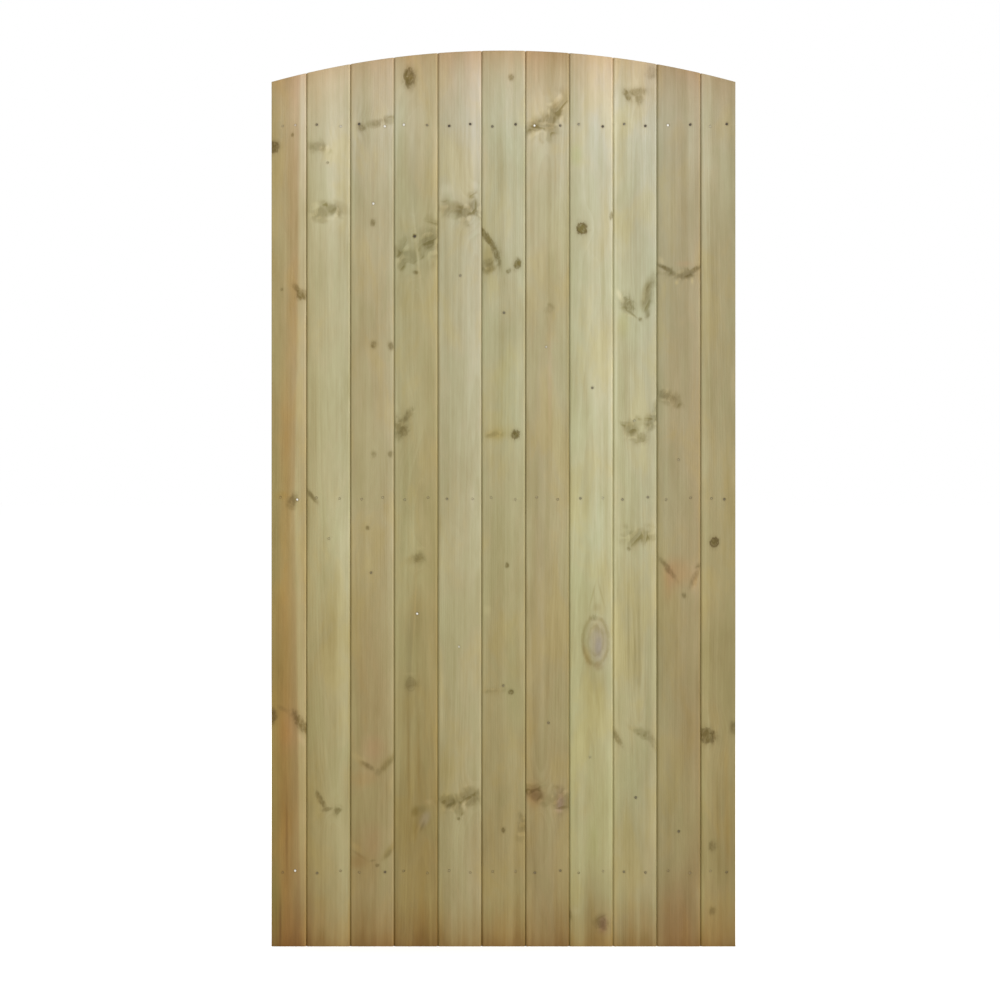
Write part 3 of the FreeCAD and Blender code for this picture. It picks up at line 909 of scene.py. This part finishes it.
        knots=[(-22, 1648, 10, 22, -48, 0.4, 0.85), (12, 1668, 12, 28, -20, 0.3, 1),
            (5, 1281, 7, 7, 0, 0.2, 0.4), (-25, 308, 16, 11, -20, 0.2, 0.8),
            (26, 294, 12, 15, -15, 0.15, 0.9), (4, 296, 12, 9, 20, 0.05, 0.7)]),
    "board_7": dict(
        tint=(1.17, 1.25, 1.37), across=(1.12, 1.12, 1.2), up=(0.98, 0.91, 0.92), pith=(0.0, 0.03, 0.02),
        stripes=[(24, 24, 8, 30, 60, (0.9, 0.75, 1.0))],
        patches=[(14, 611, 19, 44, 0, (0.91, 0.88, 1.14)), (4, 640, 4, 12, -30, (1.12, 1.12, 1.1)),
            (9, 652, 11, 5, 0, (1.14, 1.14, 1.2)), (-8, 584, 7, 22, 14, (0.9, 0.79, 0.62)),
            (-15, 610, 5, 26, 0, (0.89, 0.87, 0.83)), (15, 562, 10, 8, 0, (0.84, 0.77, 0.68)),
            (15, 603, 7, 23, 0, (0.84, 0.85, 1.06)), (12, 662, 8, 5, 0, (1.19, 1.28, 1.5)),
            (17, 534, 15, 26, 0, (0.88, 0.85, 0.76)), (21, 496, 10, 36, 0, (0.92, 0.9, 0.82)),
            (3, 706, 2, 27, -14, (0.88, 0.85, 0.75)), (21, 706, 2, 27, 14, (0.88, 0.85, 0.75)),
            (12, 682, 8, 8, 0, (0.9, 0.88, 0.84)), (-33, 70, 10, 8, 0, (1.1, 1.1, 1.18)),
            (-30, 1590, 13, 22, 0, (0.96, 1.0, 0.84)), (6, 210, 9, 34, 0, (0.95, 0.97, 0.9))],
        washes=[(18, 1600, 24, 100, 0, (0.93, 0.94, 0.95)), (-22, 1340, 14, 240, 0, (0.94, 0.94, 0.92)),
            (4, 820, 26, 130, 0, (1.04, 1.09, 1.18)), (32, 540, 12, 130, 0, (0.91, 0.91, 0.93)),
            (-20, 280, 14, 110, 0, (0.93, 0.9, 0.91)), (10, 70, 44, 85, 0, (0.84, 0.81, 0.79))],
        knots=[(-19, 1443, 10, 11, 0, 0.95, 0.15), (40, 1468, 3, 8, 0, 0.6, 0.1),
            (9, 614, 27, 50, 0, 0.12, 0.2, 0.75), (5, 660, 4, 4, 0, 0.8, 0.1),
            (22, 45, 12, 12, 0, 0.55, 0.5), (-42, 63, 4, 10, 0, 0.4, 0.3)]),
    "board_8": dict(
        tint=(1.07, 1.13, 1.25), across=(0.92, 0.92, 0.94), up=(0.99, 0.95, 0.94),
        pith=(0.01, 0.025, -0.006),
        stripes=[(-39, -39, 5, 0, 1700, (1.1, 1.1, 1.12)), (39, 39, 5, 0, 1700, (1.08, 1.08, 1.1)),
            (2, 2, 12, 1340, 1660, (0.93, 0.91, 0.9)), (-12, -14, 3, 520, 740, (0.83, 0.81, 0.76)),
            (0, 0, 2.5, 540, 620, (0.84, 0.82, 0.76)), (10, 8, 3, 530, 690, (0.86, 0.84, 0.79))],
        patches=[(-30, 1307, 5, 14, 25, (1.28, 1.24, 1.26)), (22, 1312, 9, 28, -14, (0.86, 0.8, 0.68)),
            (0, 1046, 26, 20, 0, (0.97, 0.98, 0.98)), (-10, 1268, 14, 3, -14, (1.12, 1.1, 1.08)),
            (10, 838, 18, 4, 0, (1.1, 1.1, 1.14)), (-24, 1250, 12, 26, 0, (0.98, 0.98, 0.84))],
        washes=[(-25, 1370, 9, 130, 0, (1.12, 1.14, 1.24)), (39, 640, 7, 340, 0, (1.1, 1.08, 1.08)),
            (-14, 280, 40, 100, 0, (1.0, 1.03, 1.08)), (-28, 70, 14, 85, 0, (0.86, 0.89, 0.93)),
            (32, 160, 14, 180, 0, (1.08, 1.06, 1.07))],
        knots=[(-15, 1710, 6, 13, 34, 0.8, 0.2), (4, 1717, 18, 8, 4, 0.5, 0.3),
            (8, 1702, 7, 11, 0, 0.5, 0.3), (32, 1757, 10, 12, 0, 0.35, 0.3),
            (-13, 1289, 11, 17, 14, 0.62, 0.35), (11, 1260, 4, 4, 0, 0.7, 0),
            (25, 1272, 5, 9, -10, 0.5, 0.3), (-10, 1274, 2.5, 16, 52, 0.6, 0),
            (30, 1312, 9, 30, -14, 0.3, 0.5), (-6, 1040, 13, 15, 15, 0.3, 0.78),
            (16, 1022, 12, 10, -20, 0.35, 0.8), (34, 1056, 8, 26, -25, 0.35, 0.8),
            (6, 824, 22, 13, 0, 0.15, 0.72), (-12, 799, 4, 4, 0, 0.5, 0.1), (-38, 422, 6, 20, 30, 0.6, 0.3),
            (14, 428, 6, 22, 52, 0.16, 0.5), (36, 412, 6, 18, 30, 0.3, 0.4)]),
    "board_9": dict(
        tint=(0.83, 0.79, 0.77), across=(1.04, 0.98, 0.97), up=(0.97, 0.94, 0.93),
        pith=(0.05, -0.03, 0.006),
        stripes=[(-22, -16, 12, 700, 770, (1.04, 0.9, 0.84)), (30, 34, 9, 715, 765, (1.14, 1.08, 1.12))],
        patches=[(-35, 1378, 5, 9, 30, (1.18, 1.15, 1.14)), (-4, 1334, 4, 4, 0, (1.22, 1.2, 1.1)),
            (27, 1338, 3, 7, 0, (1.22, 1.2, 1.1)), (-24, 1114, 6, 9, 40, (1.14, 1.12, 1.12)),
            (33, 733, 4, 16, -19, (1.16, 1.12, 1.06)), (-2, 752, 28, 30, 0, (1.08, 0.92, 0.84)),
            (10, 1372, 18, 6, 0, (1.06, 0.97, 0.96))],
        washes=[(22, 1600, 14, 110, 0, (1.04, 1.09, 1.11)), (-34, 1370, 12, 130, 0, (0.94, 0.91, 0.87)),
            (-14, 1100, 20, 120, 0, (1.07, 1.03, 1.02)), (-34, 540, 14, 130, 0, (0.92, 0.9, 0.84)),
            (8, 280, 34, 110, 0, (1.02, 1.06, 1.04)), (-12, 60, 34, 85, 0, (0.93, 0.81, 0.73)),
            (42, 70, 8, 85, 0, (1.16, 1.22, 1.3))],
        knots=[(-24, 1361, 4, 20, 62, 0.8, 0.3), (6, 1346, 4, 15, 84, 0.7, 0.4),
            (29, 1357, 5, 16, -56, 0.8, 0.5), (4, 1350, 26, 8, 0, 0.12, 0.6),
            (-24, 1106, 9, 20, 60, 0.5, 0.7), (-22, 760, 5, 26, 36, 0.5, 0.35),
            (32, 742, 5, 24, -20, 0.42, 0.4), (11, 706, 4, 5, 0, 0.55, 0.3)]),
    "right_edge_board": dict(
        tint=(0.82, 0.78, 0.71), across=(0.92, 0.93, 0.9), up=(0.97, 0.95, 0.99),
        pith=(0.03, 0.04, -0.005), sapwood=(-1, -14, -17, -14, 1.4, (1.14, 1.19, 1.27)),
        stripes=[(1, -3, 4, 150, 350, (0.9, 0.86, 0.74)), (20, 15, 5, 170, 420, (1.08, 1.03, 0.94)),
            (30, 30, 6, 1095, 1160, (1.2, 1.2, 1.3)), (30, 30, 6, 915, 985, (1.14, 1.14, 1.2))],
        patches=[(-24, 1520, 9, 220, 0, (1.03, 1.03, 1.05)), (16, 940, 8, 60, 0, (1.0, 0.97, 0.9))],
        washes=[(0, 1600, 40, 110, 0, (1.07, 1.08, 1.1)), (14, 1370, 18, 120, 0, (0.92, 0.88, 0.81)),
            (6, 1100, 14, 120, 0, (0.95, 0.94, 0.92)), (-28, 560, 12, 150, 0, (1.08, 1.09, 1.12)),
            (-33, 280, 7, 110, 0, (1.05, 1.1, 1.1)), (-34, 70, 7, 85, 0, (1.14, 1.28, 1.4))],
        knots=[(-8, 812, 8, 10, 0, 0.95, 0.3), (-21, 424, 17, 14, -34, 0.85, 0.25),
            (32, 441, 8, 12, 0, 0.6, 0.4), (-12, 202, 7, 9, 0, 0.6, 0.3), (-12, 71, 6, 8, 0, 0.42, 0.3)]),
}

# the arch's circle, from its crown and the top corner of the first board
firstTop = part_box("left_edge_board")[1]
archDrop = cadHigh.z - firstTop.z
archRadius = (firstTop.x**2 + archDrop**2) / (2 * archDrop)


def archHeight(x):
    return cadHigh.z - archRadius + np.sqrt(archRadius**2 - x**2)


# Both sides of a board's section in (across, depth): the left from the back to the face, and the
# right from the face to the back.
def boardCorners(left, right, thick, shape, hasGroove, hasTongue):
    chamfer, reach = shape["veeChamfer"] * mm, shape["tongueReach"] * mm
    front = chamfer + (thick - chamfer - shape["tongueThickness"] * mm) / 2
    back = front + shape["tongueThickness"] * mm
    play, bottom = shape["groovePlay"] * mm, left + shape["grooveDepth"] * mm
    leftSide = [(left, thick), (left, 0)]
    rightSide = [(right, 0), (right, thick)]
    if hasGroove:
        leftSide = [(left, thick), (left, back + play), (bottom, back + play), (bottom, front - play),
                    (left, front - play), (left, chamfer), (left + chamfer, 0)]
    if hasTongue:
        rightSide = [(right - chamfer, 0), (right, chamfer), (right, front), (right + reach, front),
                     (right + reach, back), (right, back), (right, thick)]
    return leftSide, rightSide


# Face round a nail: squares of the grid become circles (each point keeps its larger offset as its
# radius), then radius and depth follow the pocket's own profile.
def punchPocket(x, y, z, onFace, place, shape):
    offX, offZ = x - place[0], z - place[1]
    reach = shape["pocketReach"] * mm
    rows = np.flatnonzero(np.abs(offZ).min(1) < reach)
    columns = np.flatnonzero(onFace & (np.abs(offX[0]) < reach))
    part = (slice(rows[0], rows[-1] + 1), slice(columns[0], columns[-1] + 1))
    offX, offZ = offX[part], offZ[part]
    nearest = np.argmin(offX**2 + offZ**2)
    shiftX, shiftZ = offX.flat[nearest], offZ.flat[nearest]
    offX, offZ = offX - shiftX, offZ - shiftZ
    square = np.maximum(np.abs(offX), np.abs(offZ))
    roundTo, squareFrom = shape["pocketHold"]
    hold = np.clip((squareFrom * mm - square) / ((squareFrom - roundTo) * mm), 0, 1)
    hold = hold * hold * (3 - 2 * hold)
    onGrid, inPocket, share = np.array(shape["pocket"]).T
    newRadius = np.interp(square, onGrid * mm, inPocket * mm)
    scale = hold * newRadius / (np.hypot(offX, offZ) + 1e-12) + (1 - hold)
    x[part] = place[0] + offX * scale + shiftX * (1 - hold)
    z[part] = place[1] + offZ * scale + shiftZ * (1 - hold)
    y[part] += np.interp(square, onGrid * mm, share * shape["pocketDepth"] * mm)


def colourAt(height, byHeight):
    levels, colours = zip(*byHeight)
    return np.stack([np.interp(height, levels, part) for part in np.array(colours).T], -1)


# Stains and painted light of a board's face, as (amount, tint): a painted highlight on its chamfers,
# painted bounce light inside its joints, a stain that is also painted shade round each nail by the
# bell exp(-(distance / reach)^2), and a stain below the sawn arch by exp(-distance / reach).
def stainsAndPaintedLightOf(places, depth, thick, left, right, fromNail, nailDark, shape):
    fromSide = np.minimum(places[:, 0] - left, right - places[:, 0])
    veeWidth = (shape["veeChamfer"] + shape["veeMargin"][0]) * mm
    veeDepth = (shape["veeChamfer"] + shape["veeMargin"][1]) * mm
    onVee = np.clip(depth / (shape["veeFade"] * mm), 0, 1) * (fromSide < veeWidth) * (depth < veeDepth)
    inGap = 1.0 * (depth > veeDepth) * (depth < thick - shape["backMargin"] * mm)
    nailed = np.exp(-((fromNail / (shape["nailStainAndShadeReach"] * mm)) ** 2)) * nailDark
    fromArch = archHeight(places[:, 0]) - places[:, 2]
    return [(onVee, shape["veeHighlightTint"]), (inGap, shape["gapBounceLightTint"]), (nailed.max(1), shape["nailStainAndShade"]),
            (np.exp(-fromArch / (shape["archStainReach"] * mm)), shape["archStain"])]


def makeBoard(node, wood, shape, seed):
    low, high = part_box(node)
    hasGroove, hasTongue = node != "left_edge_board", node != "right_edge_board"
    left, right = low.x, high.x - (shape["tongueReach"] * mm if hasTongue else 0)
    middle, thick = (left + right) / 2, high.y - low.y
    swollen, end = shape["swelling"] * mm, shape["endArris"] * mm
    pinned = np.flatnonzero((nails["place"][:, 0] > left) & (nails["place"][:, 0] < right))
    mine = nails["place"][pinned]
    nailRule = (shape["nailReach"] * mm, shape["nailGap"] * mm)

    leftX, rightX = left - middle - swollen * hasGroove, right - middle + swollen * hasTongue
    leftSide, rightSide = boardCorners(leftX, rightX, thick, shape, hasGroove, hasTongue)
    curve = roundCorners(leftSide + rightSide, [shape["arris"] * mm] * (len(leftSide) + len(rightSide)))
    leftPart, rightPart = curve[: len(leftSide)].reshape(-1, 2), curve[len(leftSide):].reshape(-1, 2)
    faceX = spacedOut(leftPart[-1, 0], rightPart[0, 0], shape["columnGap"] * mm,
                      [(mine[:, 0] - middle, *nailRule)])[1:-1]
    faceY = shape["hollow"] * mm * (1 - (2 * faceX / (right - left)) ** 2)
    backX = np.linspace(rightPart[-1, 0], leftPart[0, 0], shape["backColumns"])[1:-1]
    outline = np.concatenate([leftPart, np.stack([faceX, faceY], -1), rightPart,
                              np.stack([backX, np.full(backX.shape, thick)], -1)])
    onFace = np.zeros(len(outline), bool)
    onFace[len(leftPart): len(leftPart) + len(faceX)] = True
    rows = stationsOf(cadHigh.z, wood, shape, [(mine[:, 1], *nailRule)])

    drawn = drawnIn(outline, end / 2)
    x, y, z = sweepOutline(outline, drawn, rows)
    x, y = x + middle, y + low.y
    for place in mine:
        punchPocket(x, y, z, onFace, place, shape)
    archFrom = shape["archFrom"] * mm
    bent = archFrom + (archHeight(x) - archFrom) * (z - archFrom) / (cadHigh.z - archFrom)
    z = np.where(z > archFrom, bent, z)
    inner = pointsWithin(drawn, shape["endGap"] * mm)
    innerX, innerY = inner[:, 0] + middle, inner[:, 1] + low.y
    places = [np.stack([x, y, z], -1).reshape(-1, 3)]
    places += [np.stack([innerX, innerY, innerZ], -1) for innerZ in (0 * innerX, archHeight(innerX))]
    places = np.concatenate(places)
    mesh = timberMesh(node + "_planed", places, len(rows), drawn, inner)

    across, depth, along = places[:, 0] - middle, places[:, 1] - low.y, places[:, 2]
    fields = woodFields(across, depth, along, endFlags(len(rows), len(outline), inner), seed, wood)
    fromNail = np.hypot(places[:, :1] - mine[:, 0], places[:, 2:] - mine[:, 1])
    nails["wood"][pinned] = fields["tint"][fromNail.argmin(0)] * colourAt(mine[:, 1], boardFinish["byHeight"])
    # stains and painted light laid on the board's face
    for amount, colour in stainsAndPaintedLightOf(places, depth, thick, left, right, fromNail, nails["dark"][pinned], shape):
        fields["tint"] = tinted(fields["tint"], amount, colour)
    addFields(mesh, fields)
    showPiece(mesh, shape["sharpAngle"], boardWood, node)
    return len(mesh.polygons)


total = 0
for seed, (node, wood) in enumerate(boards.items()):
    total += makeBoard(node, wood, boardShape, seed)
print("boards made:", total, "faces")

for step, node in enumerate(spots):
    makeNails(node, nailShape, nailShape["firstSeed"] + step)
print("nails made:", len(looks))

frameShape = dict(
    timberShape,
    arris=4.0,  # on the edges away from the boards
    frontArris=0.5,
    arrisSteps=7,
    braceWidth=95.0,
    columnGap=3.0,
    knotGap=2.5,
    firstSeed=20,
)
plainTimber = dict(across=(1.0, 1.0, 1.0), up=(1.0, 1.0, 1.0), stripes=[], patches=[], washes=[])
frameTimbers = {
    "top_ledge": dict(plainTimber, pith=(0.02, 0.06, 0.006), tint=(1.02, 1.0, 0.98),
                      knots=[(-12, 240, 10, 12, 0, 0.8, 0.5), (18, 610, 7, 7, 0, 0.7, 0.4)]),
    "middle_ledge": dict(plainTimber, pith=(-0.03, -0.01, 0.01), tint=(0.96, 0.97, 0.96),
                         knots=[(20, 420, 9, 11, 0, 0.85, 0.5), (-25, 780, 6, 8, 0, 0.7, 0.3)]),
    "bottom_ledge": dict(plainTimber, pith=(0.0, 0.055, -0.012), tint=(1.0, 0.96, 0.92),
                         knots=[(-8, 330, 12, 9, 0, 0.7, 0.7), (22, 700, 5, 6, 0, 0.9, 0.2)]),
    "upper_brace": dict(plainTimber, pith=(0.01, 0.06, 0.014), tint=(1.0, 1.02, 1.02),
                        knots=[(10, 350, 10, 13, 0, 0.75, 0.5), (-22, 840, 7, 7, 0, 0.8, 0.3)]),
    "lower_brace": dict(plainTimber, pith=(-0.02, 0.05, -0.01), tint=(0.98, 0.97, 0.94),
                        knots=[(-15, 290, 8, 9, 0, 0.8, 0.4), (14, 690, 12, 14, 10, 0.55, 0.8)]),
}


# A straight timber: its rectangle is carried from station to station along it. Both ends of a
# brace are level, so its stations slide along it by across / tan(slope).
def makeFrameTimber(node, wood, shape, seed):
    low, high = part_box(node)
    reach, thick, drop = high.x - low.x, high.y - low.y, high.z - low.z
    isBrace = node.endswith("brace")
    width, length, slope = drop, reach, 0.0
    if isBrace:
        width = shape["braceWidth"] * mm
        slope = math.atan2(drop, reach) + math.asin(width / math.hypot(reach, drop))
        length = drop / math.sin(slope)
    half, end = width / 2, shape["endArris"] * mm
    corners = [(-half, thick), (-half, 0), (half, 0), (half, thick)]
    setbacks = [shape[edge] * mm for edge in ("arris", "frontArris", "frontArris", "arris")]
    curve = roundCorners(corners, setbacks, steps=shape["arrisSteps"])
    count = int(width / (shape["columnGap"] * mm))
    betweenFront = np.linspace(curve[1, -1], curve[2, 0], count)[1:-1]
    betweenBack = np.linspace(curve[3, -1], curve[0, 0], count)[1:-1]
    outline = np.concatenate([curve[0], curve[1], betweenFront, curve[2], curve[3], betweenBack])
    stations = stationsOf(length, wood, shape, [])

    drawn = drawnIn(outline, end / 2)
    inner = pointsWithin(drawn, shape["endGap"] * mm)
    across, depth, along = [part.ravel() for part in sweepOutline(outline, drawn, stations)]
    across = np.concatenate([across, inner[:, 0], inner[:, 0]])
    depth = np.concatenate([depth, inner[:, 1], inner[:, 1]])
    along = np.concatenate([along, np.repeat(stations[[0, -1]], len(inner))])
    start = np.array([low.x, low.y, (low.z + high.z) / 2])
    if isBrace:
        along = along - across / math.tan(slope)
        start = np.array([low.x + width / math.sin(slope) / 2, low.y, high.z])
    acrossWay = np.array([-math.sin(slope), 0, -math.cos(slope)])
    alongWay = np.array([math.cos(slope), 0, -math.sin(slope)])
    places = start + across[:, None] * acrossWay + along[:, None] * alongWay
    places[:, 1] += depth
    mesh = timberMesh(node + "_planed", places, len(stations), drawn, inner)
    isEnd = endFlags(len(stations), len(outline), inner)
    addFields(mesh, woodFields(across, depth, along, isEnd, seed, wood))
    showPiece(mesh, shape["sharpAngle"], frameWood, node)


for seed, (node, wood) in enumerate(frameTimbers.items()):
    makeFrameTimber(node, wood, frameShape, frameShape["firstSeed"] + seed)
print("ledges and braces made")

studio = dict(
    ambient=0.68,  # how strongly the white surroundings light the gate
    backdrop=1.0,  # how bright they look themselves
    lights={  # name: place, size, power
        "keyLight": ((4.0, -5.3, 3.2), 2.4, 296.0),
        "backLight": ((-4.2, 4.6, 3.6), 2.6, 260.0),
    },
    aimHeight=0.6,  # where the lights are aimed, as a share of the gate's height
    floorHalf=400.0,
    floorColour=(0.95, 0.95, 0.95),
    floorRoughness=0.9,
    floorGlow=0.36,
    cameraPlace=(-0.007, 0.897),
    viewWidth=2.009,
    lens=100.0,
    sensor=36.0,
)


def makeFloor(look):
    half = look["floorHalf"]
    mesh = bpy.data.meshes.new("studioFloor")
    corners = [(-half, -half, 0), (half, -half, 0), (half, half, 0), (-half, half, 0)]
    mesh.from_pydata(corners, [], [(0, 1, 2, 3)])
    paint, tree = newMaterial("floorPaint")
    glow = product(tree, addNode(tree, "LightPath").outputs["Is Camera Ray"], look["floorGlow"])
    inputs = {"Base Color": (*look["floorColour"], 1), "Roughness": look["floorRoughness"]}
    inputs.update({"Specular IOR Level": 0.0, "Emission Color": (1, 1, 1, 1), "Emission Strength": glow})
    addNode(tree, "OutputMaterial", {"Surface": addNode(tree, "BsdfPrincipled", inputs).outputs[0]})
    mesh.materials.append(paint)
    floor = addToScene("studioFloor", mesh)


def makeSurroundings(look):
    world = bpy.data.worlds.new("studioLight")
    bpy.context.scene.world = world
    world.use_nodes = True
    tree = world.node_tree
    seenByCamera = addNode(tree, "LightPath").outputs["Is Camera Ray"]
    strength = calc(tree, "MULTIPLY_ADD", seenByCamera, look["backdrop"] - look["ambient"], look["ambient"])
    background = tree.nodes["Background"]
    background.inputs["Color"].default_value = (1, 1, 1, 1)
    tree.links.new(strength, background.inputs["Strength"])


def makeLights(look):
    for name, (place, size, power) in look["lights"].items():
        data = bpy.data.lights.new(name, "AREA")
        data.size, data.energy = size, power
        light = addToScene(name, data)
        light.location = place
        aim = Vector((0, 0, cadHigh.z * look["aimHeight"])) - light.location
        light.rotation_euler = aim.to_track_quat("-Z", "Y").to_euler()


def makeCamera(look):
    data = bpy.data.cameras.new("frontCamera")
    data.lens, data.sensor_width = look["lens"], look["sensor"]
    camera = addToScene("frontCamera", data)
    distance = look["viewWidth"] * look["lens"] / look["sensor"]
    camera.location = (look["cameraPlace"][0], cadLow.y - distance, look["cameraPlace"][1])
    camera.rotation_euler = (math.pi / 2, 0, 0)
    bpy.context.scene.camera = camera


makeFloor(studio)
makeSurroundings(studio)
makeLights(studio)
makeCamera(studio)
bpy.context.scene.view_settings.view_transform = "Standard"
print("studio made")
